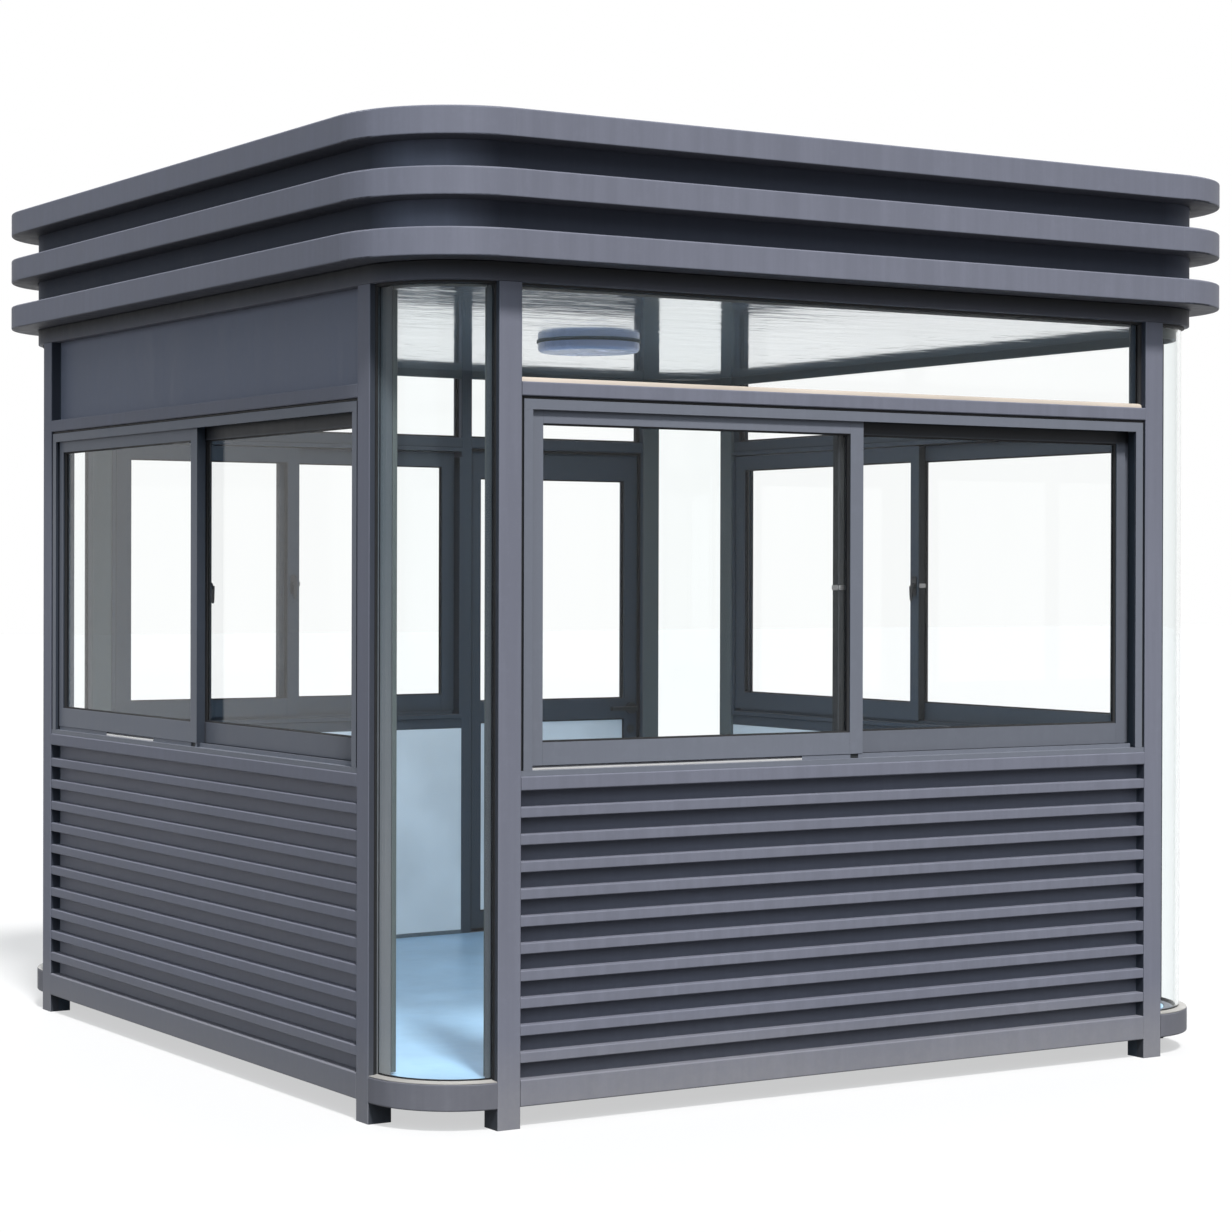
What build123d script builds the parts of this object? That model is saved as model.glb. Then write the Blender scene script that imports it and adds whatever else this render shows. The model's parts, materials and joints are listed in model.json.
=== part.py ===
"""Security guard booth: a square steel cabin with rounded corners, sliding windows,
ribbed lower walls, curved corner glass, a banded flat roof and one hinged door."""
from build123d import *
import os

os.makedirs("parts", exist_ok=True)

# ---------------------------------------------------------------- driving sizes (mm)
# Plan
body_width = 3000.0          # across the front, outside of the posts
body_depth = 3000.0          # front to back, outside of the posts
corner_radius = 265.0        # rounded corners, at the outside of the posts
tube = 75.0                  # square tube of the posts and base beams
tube_edge = 4.0              # rounding along the tubes

# Heights, from the ground up
foot_height = 60.0           # posts stand this far below the base beams
lower_wall_height = 805.0    # ribbed wall, base beam to sill beam
rail_height = 40.0           # sill beams and transom beams
window_height = 1060.0       # sill beam to transom beam
upper_bay_height = 275.0     # transom beam to ring beam
ring_height = 55.0           # ring beam, as deep as the posts
band_height = 80.0           # projecting roof bands
band_gap = 85.0              # recess between two roof bands
band_names = ("lower", "middle", "upper")
band_overhang = 95.0         # roof bands beyond the posts
band_edge = 5.0              # rounding along the bands

# Lower walls
rib_count = 10
rib_height = 30.0
rib_setback = 2.0            # rib face behind the post face
rib_edge = 3.0               # rounding along the ribs
wall_setback = 36.0          # wall panel behind the post face
lining_thickness = 9.0       # inner board, flush with the inside of the posts

# Glass that is set straight into the steel frame
corner_glass_setback = 25.0
corner_glass_thickness = 10.0
upper_glass_setback = 30.0
upper_glass_thickness = 8.0

# Sliding windows
frame_setback = 3.0          # frame lip behind the post face
frame_depth = 80.0
frame_wall = 15.0            # frame section against the opening
frame_lip = 37.0             # front lip of the head and jambs
frame_lip_depth = 9.0
lip_groove_width = 8.0       # shadow groove between the lip and the posts or transom beam
lip_groove_depth = 7.0
sash_thickness = 28.0
sash_setback = 15.0          # outer sash behind the post face
sash_spacing = 6.0           # between the two sashes
sash_side_gap = 4.0          # sash to jamb
sash_top_gap = 5.0           # sash to head
jamb_stile = 58.0
jamb_stile_face = 36.0       # the rest of the jamb stile is a flange, set back
flange_setback = 10.0
meeting_stile = 48.0
meeting_overlap = 67.0       # the two sashes overlap by this much
meeting_offset = 7.5         # middle of the overlap, right of the middle of the window
top_rail = 54.0
bottom_rail = 64.0
track_height = 13.0          # the sashes stand on two track ribs
track_width = 5.0
window_glass = 5.0
seat_gap = 0.3               # sash on its track
joint_gap = 0.3              # butt joint between two bars of one frame

# Roof, ceiling and floor
fascia_thickness = 50.0
deck_thickness = 60.0
deck_drop = 60.0             # roof deck below the top of the upper band
ceiling_thickness = 50.0
ceiling_drop = 12.0          # ceiling below the underside of the ring beam
floor_thickness = 50.0

# Round lamp in the middle of the ceiling
lamp_radius = 175.0
lamp_height = 37.0
lamp_edge = 15.0             # rounding of its lower rim

# Door, in the back wall
door_post_width = 50.0
door_bay_width = 795.0       # door post to corner post
door_gap = 5.0               # leaf to posts, transom beam and threshold
leaf_thickness = 40.0
leaf_stile = 60.0
leaf_top_rail = 110.0
leaf_mid_rail = 80.0
leaf_bottom_rail = 70.0
leaf_panel_height = 750.0
leaf_panel_thickness = 24.0
leaf_glass = 6.0

# Door furniture
hinge_inset = 190.0          # end hinges from the ends of the leaf
hinge_radius = 7.0
hinge_half_length = 45.0     # one barrel of the two
hinge_plate_width = 30.0
hinge_plate_thickness = 4.0
hinge_proud = 8.0            # pin axis in front of the leaf face
pin_radius = 3.5
pin_clearance = 0.3
barrel_gap = 1.0
web_clearance = 1.0          # hinge webs in front of the door gap
handle_rise = 40.0           # handle above the underside of the middle rail
rose_radius = 24.0
rose_thickness = 8.0
neck_radius = 8.0
neck_length = 38.0
lever_length = 115.0
lever_section = 16.0

# ---------------------------------------------------------------- worked-out places
base_top = foot_height + tube
sill_bottom = base_top + lower_wall_height
sill_top = sill_bottom + rail_height
transom_bottom = sill_top + window_height
transom_top = transom_bottom + rail_height
ring_bottom = transom_top + upper_bay_height
ring_top = ring_bottom + ring_height
band_count = len(band_names)
fascia_height = band_count * band_height + (band_count - 1) * band_gap
roof_top = ring_top + fascia_height

WALLS = {
    # name: turn about Z, length along the wall, centre to outer face
    "front": (0.0, body_width, body_depth / 2),
    "right": (90.0, body_depth, body_width / 2),
    "back": (180.0, body_width, body_depth / 2),
    "left": (270.0, body_depth, body_width / 2),
}


# ---------------------------------------------------------------- helpers
def slab(x0, x1, y0, y1, z0, z1):
    """A rectangular block between two corners."""
    return Pos((x0 + x1) / 2, (y0 + y1) / 2, (z0 + z1) / 2) * Box(x1 - x0, y1 - y0, z1 - z0)


def bar(x0, x1, y0, y1, z0, z1, axis, edge):
    """A block with the edges along one axis rounded."""
    block = slab(x0, x1, y0, y1, z0, z1)
    return fillet(block.edges().filter_by(axis), edge)


def on_wall(wall, shape):
    """Places a shape made in a wall's own frame: x to the viewer's right as seen
    from outside, y inward from the outer face of the posts, z up."""
    turn, _, offset = WALLS[wall]
    return Rot(0, 0, turn) * Pos(0, -offset, 0) * shape


def bay_edge(wall):
    """Half the length between a wall's two posts."""
    return WALLS[wall][1] / 2 - corner_radius - tube


def corner_arcs(inner_radius, outer_radius, z0, z1, edge=0.0):
    """Quarter rings about the centres of the four rounded corners."""
    width, height = outer_radius - inner_radius, z1 - z0
    profile = RectangleRounded(width, height, edge) if edge else Rectangle(width, height)
    section = Plane.XZ * Pos((inner_radius + outer_radius) / 2, (z0 + z1) / 2) * profile
    quarter = revolve(section, Axis.Z, 90)
    arcs = []
    for turn, sign_x, sign_y in ((0, 1, 1), (90, -1, 1), (180, -1, -1), (270, 1, -1)):
        centre = Pos(sign_x * (body_width / 2 - corner_radius), sign_y * (body_depth / 2 - corner_radius), 0)
        arcs.append(centre * Rot(0, 0, turn) * quarter)
    return arcs


def rounded_plate(inset, z0, z1):
    """A plate that fills the plan, set in by inset from the outside of the posts."""
    outline = RectangleRounded(body_width - 2 * inset, body_depth - 2 * inset, corner_radius - inset)
    return Pos(0, 0, z0) * extrude(outline, z1 - z0)


def save(node, shapes):
    """Writes the solids of one node to its own file."""
    solids = []
    for shape in shapes:
        solids += shape.solids()
    export_step(Compound(solids), f"parts/{node}.step")


# ---------------------------------------------------------------- steel frame
def corner_posts(wall):
    """The two posts of a wall, from the ground to the ring beam."""
    edge = bay_edge(wall)
    left = bar(-edge - tube, -edge, 0, tube, 0, ring_bottom, Axis.Z, tube_edge)
    right = bar(edge, edge + tube, 0, tube, 0, ring_bottom, Axis.Z, tube_edge)
    return [on_wall(wall, left), on_wall(wall, right)]


def wall_beam(wall, x0, x1, z0, z1):
    """A straight beam, as deep as the posts."""
    return on_wall(wall, bar(x0, x1, 0, tube, z0, z1, Axis.X, tube_edge))


def full_bay_beams(z0, z1):
    """One beam between the posts of each wall."""
    return [wall_beam(wall, -bay_edge(wall), bay_edge(wall), z0, z1) for wall in WALLS]


def over_post_beams(z0, z1):
    """One beam over the posts of each wall."""
    return [wall_beam(wall, -bay_edge(wall) - tube, bay_edge(wall) + tube, z0, z1) for wall in WALLS]


# The door is beside the back wall's left post as seen from outside.
door_bay = (-bay_edge("back"), -bay_edge("back") + door_bay_width)
door_post = (door_bay[1], door_bay[1] + door_post_width)
window_bays = {
    "front": (-bay_edge("front"), bay_edge("front")),
    "right": (-bay_edge("right"), bay_edge("right")),
    "back": (door_post[1], bay_edge("back")),
    "left": (-bay_edge("left"), bay_edge("left")),
}

save("posts", [post for wall in WALLS for post in corner_posts(wall)])
save("base_beams", full_bay_beams(foot_height, base_top))
save("base_corners", corner_arcs(corner_radius - tube, corner_radius, foot_height, base_top, tube_edge))
save("ring_beams", over_post_beams(ring_bottom, ring_top))
save("ring_corners", corner_arcs(corner_radius - tube, corner_radius, ring_bottom, ring_top, tube_edge))
save("sill_beams", [wall_beam(wall, *bay, sill_bottom, sill_top) for wall, bay in window_bays.items()])
save(
    "transom_beams",
    [wall_beam(wall, *bay, transom_bottom, transom_top) for wall, bay in window_bays.items()]
    + [wall_beam("back", *door_bay, transom_bottom, transom_top)],
)
save("door_post", [on_wall("back", bar(*door_post, 0, tube, base_top, ring_bottom, Axis.Z, tube_edge))])


# ---------------------------------------------------------------- lower walls
def lower_wall(wall):
    """The insulated panel of one wall, behind its ribs."""
    return on_wall(wall, slab(
        *window_bays[wall], wall_setback, tube - lining_thickness, base_top, sill_bottom,
    ))


def wall_lining(wall):
    """The inner board of one wall."""
    return on_wall(wall, slab(
        *window_bays[wall], tube - lining_thickness, tube, base_top, sill_bottom,
    ))


def wall_ribs(wall):
    """Level ribs with equal gaps between the base beam and the sill beam."""
    x0, x1 = window_bays[wall]
    gap = (lower_wall_height - rib_count * rib_height) / (rib_count + 1)
    ribs = []
    for index in range(rib_count):
        z0 = base_top + gap + index * (gap + rib_height)
        rib = bar(x0, x1, rib_setback, wall_setback, z0, z0 + rib_height, Axis.X, rib_edge)
        ribs.append(on_wall(wall, rib))
    return ribs


for name in WALLS:
    save(f"{name}_lower_wall", [lower_wall(name)])
save("inner_lining", [wall_lining(name) for name in WALLS])
save("wall_ribs", [rib for name in WALLS for rib in wall_ribs(name)])


# ---------------------------------------------------------------- sliding windows
def window_frame(x0, x1):
    """Head, sill with two track ribs, and jambs of one sliding window."""
    z0, z1 = sill_top, transom_bottom
    front, back = frame_setback, frame_setback + frame_depth
    lip_back, groove_back = front + frame_lip_depth, front + lip_groove_depth
    head = slab(x0, x1, front, back, z1 - frame_wall, z1) + slab(x0, x1, front, lip_back, z1 - frame_lip, z1)
    head -= slab(x0, x1, front, groove_back, z1 - lip_groove_width, z1)
    sill = slab(x0, x1, front, back, z0, z0 + frame_wall)
    for sash_front in sash_fronts():
        middle = sash_front + sash_thickness / 2
        sill += slab(
            x0 + frame_lip, x1 - frame_lip,
            middle - track_width / 2, middle + track_width / 2,
            z0 + frame_wall, z0 + frame_wall + track_height - seat_gap,
        )
    bars = [head, sill]
    jamb_bottom, jamb_top = z0 + frame_wall + joint_gap, z1 - frame_lip - joint_gap
    for edge, inward in ((x0, 1), (x1, -1)):
        wall_side = sorted((edge, edge + inward * frame_wall))
        lip_side = sorted((edge, edge + inward * frame_lip))
        groove_side = sorted((edge, edge + inward * lip_groove_width))
        groove = slab(*groove_side, front, groove_back, jamb_bottom, z1)
        jamb = slab(*wall_side, front, back, jamb_bottom, jamb_top)
        jamb += slab(*lip_side, front, lip_back, jamb_bottom, jamb_top)
        bars[0] -= groove
        bars.append(jamb - groove)
    return bars


def sash_fronts():
    """Front faces of the outer and the inner sash."""
    return (sash_setback, sash_setback + sash_thickness + sash_spacing)


def sash_spans(x0, x1):
    """Left edge, right edge, left stile and right stile of each sash."""
    middle = (x0 + x1) / 2 + meeting_offset
    side = frame_wall + sash_side_gap
    outer = (x0 + side, middle + meeting_overlap / 2, jamb_stile, meeting_stile)
    inner = (middle - meeting_overlap / 2, x1 - side, meeting_stile, jamb_stile)
    return (outer, inner)


def jamb_flanges(x0, x1):
    """Left and right edge of the flange on the jamb stile of each sash."""
    (left, _, _, _), (_, right, _, _) = sash_spans(x0, x1)
    width = jamb_stile - jamb_stile_face
    return ((left, left + width), (right - width, right))


def sash_heights():
    """Underside and top of both sashes."""
    return (sill_top + frame_wall + track_height, transom_bottom - frame_wall - sash_top_gap)


def window_sashes(x0, x1):
    """The stiles and rails of the two sashes."""
    bars = []
    z0, z1 = sash_heights()
    for front, span, flange in zip(sash_fronts(), sash_spans(x0, x1), jamb_flanges(x0, x1)):
        left, right, left_stile, right_stile = span
        back = front + sash_thickness
        rebate = slab(*flange, front, front + flange_setback, z0, z1)
        bars.append(slab(left, left + left_stile, front, back, z0, z1) - rebate)
        bars.append(slab(right - right_stile, right, front, back, z0, z1) - rebate)
        rail = (left + left_stile + joint_gap, right - right_stile - joint_gap)
        bars.append(slab(*rail, front, back, z0, z0 + bottom_rail))
        bars.append(slab(*rail, front, back, z1 - top_rail, z1))
    return bars


def window_panes(x0, x1):
    """The two panes, each in the middle of its sash."""
    panes = []
    z0, z1 = sash_heights()
    for front, (left, right, left_stile, right_stile) in zip(sash_fronts(), sash_spans(x0, x1)):
        middle = front + sash_thickness / 2
        panes.append(slab(
            left + left_stile, right - right_stile,
            middle - window_glass / 2, middle + window_glass / 2,
            z0 + bottom_rail, z1 - top_rail,
        ))
    return panes


for name, bay in window_bays.items():
    save(f"{name}_window_frame", [on_wall(name, bar) for bar in window_frame(*bay)])
    save(f"{name}_window_sashes", [on_wall(name, bar) for bar in window_sashes(*bay)])
    save(f"{name}_window_glass", [on_wall(name, pane) for pane in window_panes(*bay)])


# ---------------------------------------------------------------- fixed glass and upper panel
def upper_pane(wall, x0, x1):
    """A pane between the transom beam and the ring beam."""
    front = upper_glass_setback
    return on_wall(wall, slab(x0, x1, front, front + upper_glass_thickness, transom_top, ring_bottom))


save("upper_glass", [
    upper_pane("front", *window_bays["front"]),
    upper_pane("right", *window_bays["right"]),
    upper_pane("back", *window_bays["back"]),
    upper_pane("back", *door_bay),
])
save("left_upper_panel", [on_wall("left", slab(
    *window_bays["left"], wall_setback, tube, transom_top, ring_bottom,
))])
glass_radius = corner_radius - corner_glass_setback
save("corner_glass", corner_arcs(glass_radius - corner_glass_thickness, glass_radius, base_top, ring_bottom))


# ---------------------------------------------------------------- roof, ceiling and floor
def band_sides(z0, z1):
    """The straight lengths of one roof band."""
    bands = []
    for wall in WALLS:
        half = bay_edge(wall) + tube
        band = bar(-half, half, -band_overhang, 0, z0, z1, Axis.X, band_edge)
        bands.append(on_wall(wall, band))
    return bands


for level, name in enumerate(band_names):
    band_bottom = ring_top + level * (band_height + band_gap)
    band_top = band_bottom + band_height
    save(f"roof_band_{name}_sides", band_sides(band_bottom, band_top))
    save(f"roof_band_{name}_corners", corner_arcs(
        corner_radius, corner_radius + band_overhang, band_bottom, band_top, band_edge,
    ))

save("fascia_walls", [
    on_wall(wall, slab(-bay_edge(wall) - tube, bay_edge(wall) + tube, 0, fascia_thickness, ring_top, roof_top))
    for wall in WALLS
])
save("fascia_corners", corner_arcs(corner_radius - fascia_thickness, corner_radius, ring_top, roof_top))
deck_top = roof_top - deck_drop
save("roof_deck", [rounded_plate(fascia_thickness, deck_top - deck_thickness, deck_top)])
ceiling_bottom = ring_bottom - ceiling_drop
save("ceiling", [rounded_plate(tube, ceiling_bottom, ceiling_bottom + ceiling_thickness)])
lamp = Pos(0, 0, ceiling_bottom - lamp_height / 2) * Cylinder(lamp_radius, lamp_height)
save("ceiling_lamp", [fillet(lamp.edges().filter_by(GeomType.CIRCLE).sort_by(Axis.Z)[0], lamp_edge)])
save("floor", [rounded_plate(tube, base_top - floor_thickness, base_top)])


# ---------------------------------------------------------------- door
# In the back wall's frame the leaf is hung on the door post and closes on the corner post.
leaf_left = door_bay[0] + door_gap
leaf_right = door_bay[1] - door_gap
leaf_bottom = base_top + door_gap
leaf_top = transom_bottom - door_gap
panel_bottom = leaf_bottom + leaf_bottom_rail
panel_top = panel_bottom + leaf_panel_height
pane_bottom = panel_top + leaf_mid_rail
pane_top = leaf_top - leaf_top_rail
inner_left = leaf_left + leaf_stile
inner_right = leaf_right - leaf_stile
hinge_x = door_post[0] - door_gap / 2
hinge_heights = (leaf_bottom + hinge_inset, (leaf_bottom + leaf_top) / 2, leaf_top - hinge_inset)


def door_leaf():
    """The stiles and the three rails of the leaf."""
    rail = (inner_left + joint_gap, inner_right - joint_gap)
    return [
        slab(leaf_left, inner_left, 0, leaf_thickness, leaf_bottom, leaf_top),
        slab(inner_right, leaf_right, 0, leaf_thickness, leaf_bottom, leaf_top),
        slab(*rail, 0, leaf_thickness, leaf_bottom, panel_bottom),
        slab(*rail, 0, leaf_thickness, panel_top, pane_bottom),
        slab(*rail, 0, leaf_thickness, pane_top, leaf_top),
    ]


def centred_infill(thickness, z0, z1):
    """A sheet in the middle of the leaf's thickness."""
    middle = leaf_thickness / 2
    return slab(inner_left, inner_right, middle - thickness / 2, middle + thickness / 2, z0, z1)


def door_handle(side):
    """Rose, neck and lever of one handle. side is -1 outside and 1 inside."""
    face = 0 if side < 0 else leaf_thickness
    x = leaf_left + leaf_stile / 2
    z = panel_top + handle_rise
    rose = Pos(x, face + side * rose_thickness / 2, z) * Rot(90, 0, 0) * Cylinder(rose_radius, rose_thickness)
    reach = face + side * (rose_thickness + neck_length / 2)
    neck = Pos(x, reach, z) * Rot(90, 0, 0) * Cylinder(neck_radius, neck_length)
    lever_near = face + side * (rose_thickness + neck_length - lever_section)
    lever_y = sorted((lever_near, lever_near + side * lever_section))
    lever = slab(x - lever_section / 2, x + lever_length, *lever_y, z - lever_section / 2, z + lever_section / 2)
    return rose + neck + lever


def hinge_barrel(z0, z1):
    """One barrel of a hinge on the pin axis."""
    return Pos(hinge_x, -hinge_proud, (z0 + z1) / 2) * Cylinder(hinge_radius, z1 - z0)


def fixed_hinge(height):
    """Lower half: plate on the door post, barrel and pin."""
    z0, z1 = height - hinge_half_length, height - barrel_gap / 2
    plate = slab(door_post[0], door_post[0] + hinge_plate_width, -hinge_plate_thickness, 0, z0, z1)
    web = slab(hinge_x, door_post[0] + hinge_plate_width, -hinge_plate_thickness, -web_clearance, z0, z1)
    pin_top = height + hinge_half_length - 2 * hinge_radius
    pin = Pos(hinge_x, -hinge_proud, (z1 + pin_top) / 2) * Cylinder(pin_radius, pin_top - z1)
    return plate + web + hinge_barrel(z0, z1) + pin


def moving_hinge(height):
    """Upper half: plate on the leaf and the barrel that turns on the pin."""
    z0, z1 = height + barrel_gap / 2, height + hinge_half_length
    plate = slab(leaf_right - hinge_plate_width, leaf_right, -hinge_plate_thickness, 0, z0, z1)
    web = slab(leaf_right - hinge_plate_width, hinge_x, -hinge_plate_thickness, -web_clearance, z0, z1)
    bore_top = height + hinge_half_length - 2 * hinge_radius + barrel_gap
    bore = Pos(hinge_x, -hinge_proud, (z0 + bore_top) / 2) * Cylinder(pin_radius + pin_clearance, bore_top - z0)
    return plate + web + hinge_barrel(z0, z1) - bore


save("door_leaf", [on_wall("back", bar) for bar in door_leaf()])
save("door_glass", [on_wall("back", centred_infill(leaf_glass, pane_bottom, pane_top))])
save("door_panel", [on_wall("back", centred_infill(leaf_panel_thickness, panel_bottom, panel_top))])
save("door_handles", [on_wall("back", door_handle(side)) for side in (-1, 1)])
save("door_hinges_fixed", [on_wall("back", fixed_hinge(height)) for height in hinge_heights])
save("door_hinges_moving", [on_wall("back", moving_hinge(height)) for height in hinge_heights])
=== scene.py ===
import json
import math

import bmesh
import bpy
from mathutils import Matrix, Vector


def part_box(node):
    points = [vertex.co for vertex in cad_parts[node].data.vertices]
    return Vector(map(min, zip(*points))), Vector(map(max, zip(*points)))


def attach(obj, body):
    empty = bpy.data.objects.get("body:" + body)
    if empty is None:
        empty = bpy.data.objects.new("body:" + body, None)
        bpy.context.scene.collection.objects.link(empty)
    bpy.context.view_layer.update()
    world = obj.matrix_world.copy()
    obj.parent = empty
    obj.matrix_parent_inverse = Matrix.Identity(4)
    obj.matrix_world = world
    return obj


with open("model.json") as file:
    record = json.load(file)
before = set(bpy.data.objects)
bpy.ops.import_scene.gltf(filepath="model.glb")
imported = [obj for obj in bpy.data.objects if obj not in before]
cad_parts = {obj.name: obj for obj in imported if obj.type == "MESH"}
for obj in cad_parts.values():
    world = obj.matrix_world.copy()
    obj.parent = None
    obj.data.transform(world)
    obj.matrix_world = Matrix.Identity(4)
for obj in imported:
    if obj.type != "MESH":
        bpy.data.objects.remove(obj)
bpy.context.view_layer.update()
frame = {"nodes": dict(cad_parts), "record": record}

NODES = frame["nodes"]
CEILING_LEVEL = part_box("ceiling")[0].z
RING_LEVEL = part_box("ring_beams")[0].z
BASE_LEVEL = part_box("base_beams")[1].z
FOOT_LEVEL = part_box("base_corners")[0].z
OUTER_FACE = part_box("posts")[1].x

# ---------------------------------------------------------------- colours (linear)
PAINT = (0.165, 0.171, 0.211)
PAINT_WORN = (0.255, 0.255, 0.280)
ROAD_DUST = (0.270, 0.262, 0.262)
PANEL_PAINT = (0.112, 0.119, 0.150)
# Paler copy of the wall-panel paint on the left wall's sheet between the ribs: painted bounce light
# from the ground, with some dust.
LEFT_SHEET_DUST_AND_BOUNCE = (0.255, 0.250, 0.282)
UPPER_PANEL_PAINT = (0.180, 0.194, 0.248)
BASE_CORNER_PAINT = (0.128, 0.130, 0.152)
# Fascia colour at the middle of the rounded corners, kept bright there as a painted reflection; the
# next factor darkens the flat runs as painted shade.
FASCIA_PAINT = (0.166, 0.182, 0.232)
FASCIA_FLATS_SHADE = (0.44, 0.44, 0.45)
# Painted shade: the dark colour that ring beams, band undersides and inner sashes blend towards.
EAVES_PAINTED_SHADE = (0.022, 0.022, 0.022)
REVEAL_SHADE = (0.21, 0.23, 0.25)
# Painted shade tints of the posts' faces that look along their wall, low down and high up under the
# roof.
POST_FLANK_SHADES = ((0.97, 0.95, 0.84), (0.58, 0.65, 0.61))
FRAME_PAINT = (0.160, 0.171, 0.203)
# Painted shade: the booth's paint on faces that look into the cabin, darkened in place of the
# cabin's shade.
CABIN_SIDE_SHADE = (0.050, 0.063, 0.080)
COVER_PAINT = (0.105, 0.122, 0.124)
LINING_BLUE = (0.76, 0.82, 0.86)
FLOOR_BLUE = (0.32, 0.51, 0.71)
CEILING_WHITE = (0.53, 0.54, 0.55)
LAMP_OPAL = (0.62, 0.69, 0.96)
RUBBER = (0.012, 0.012, 0.013)
BARE_ALUMINIUM = (0.72, 0.72, 0.72)
BEAD_CREAM = (0.52, 0.45, 0.38)
STEEL = (0.46, 0.46, 0.47)
DARK_STEEL = (0.30, 0.30, 0.30)
BLACK_METAL = (0.030, 0.032, 0.035)
SILL_PALE = (0.34, 0.325, 0.305)
PILE = (0.018, 0.020, 0.022)
SKIRTING = (0.10, 0.13, 0.15)
DECK_GREY = (0.30, 0.31, 0.32)
GLASS_TINT = (0.986, 0.995, 0.993)
CORNER_TINT = (0.960, 0.984, 0.982)


# ---------------------------------------------------------------- places, from the frame
WALL_TURNS = {"front": 0.0, "right": 90.0, "back": 180.0, "left": 270.0}
WALL_DEPTH = 0.2
FACE_MARGIN = 0.01

# Directions in a wall's own frame, as seen from outside.
RIGHTWARD, LEFTWARD = (1, 0, 0), (-1, 0, 0)
INWARD, OUTWARD = (0, 1, 0), (0, -1, 0)
UP, DOWN = (0, 0, 1), (0, 0, -1)


def wall_matrix(wall):
    """From a wall's own frame (x to the right as seen from outside, y inward from the outer
    face of the posts, z up) to the booth's."""
    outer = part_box("posts")[1]
    offset = outer.y if wall in ("front", "back") else outer.x
    turn = Matrix.Rotation(math.radians(WALL_TURNS[wall]), 4, "Z")
    return turn @ Matrix.Translation((0, -offset, 0))


def solid_boxes(node):
    """Lowest and highest corner of each separate solid of a CAD node."""
    mesh = NODES[node].data
    points = [tuple(round(value, 5) for value in vertex.co) for vertex in mesh.vertices]
    parent = {point: point for point in points}

    def root(point):
        while parent[point] != point:
            parent[point] = parent[parent[point]]
            point = parent[point]
        return point

    for face in mesh.polygons:
        first = root(points[face.vertices[0]])
        for index in face.vertices[1:]:
            parent[root(points[index])] = first
    groups = {}
    for point in parent:
        groups.setdefault(root(point), []).append(point)
    boxes = [
        (Vector(map(min, zip(*group))), Vector(map(max, zip(*group)))) for group in groups.values()
    ]
    return sorted(boxes, key=lambda box: tuple(box[0]))


def wall_boxes(node, wall):
    """The solids of a node in a wall's frame, from left to right."""
    to_wall = wall_matrix(wall).inverted()
    boxes = []
    for low, high in solid_boxes(node):
        a, b = to_wall @ low, to_wall @ high
        boxes.append((Vector(map(min, zip(a, b))), Vector(map(max, zip(a, b)))))
    return sorted(boxes, key=lambda box: (round(box[0].x, 4), round(box[0].z, 4)))


def on_this_wall(boxes):
    """Those boxes that lie in the wall itself, between its two posts."""
    return [box for box in boxes if box[0].y > -FACE_MARGIN and box[1].y < WALL_DEPTH]


def around(boxes):
    """Lowest and highest corner of several boxes together."""
    low = Vector(min(box[0][axis] for box in boxes) for axis in range(3))
    high = Vector(max(box[1][axis] for box in boxes) for axis in range(3))
    return low, high


CORNER_BOX = max(solid_boxes("corner_glass"), key=lambda box: box[0].x + box[0].y)
CORNER_X, CORNER_Y = CORNER_BOX[0].x, CORNER_BOX[0].y
CORNER_SIGNS = ((1, 1), (1, -1), (-1, 1), (-1, -1))
CORNER_GLASS_RADIUS = CORNER_BOX[1].x - CORNER_BOX[0].x
CORNER_GLASS_THICKNESS = 0.010
GLASS_LINE = OUTER_FACE - 0.031
INNER_TRACK_LINE = OUTER_FACE - 0.046
SASH_GLASS_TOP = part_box("front_window_glass")[1].z
FLANK_LEVELS = (0.7, 1.7)


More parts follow.
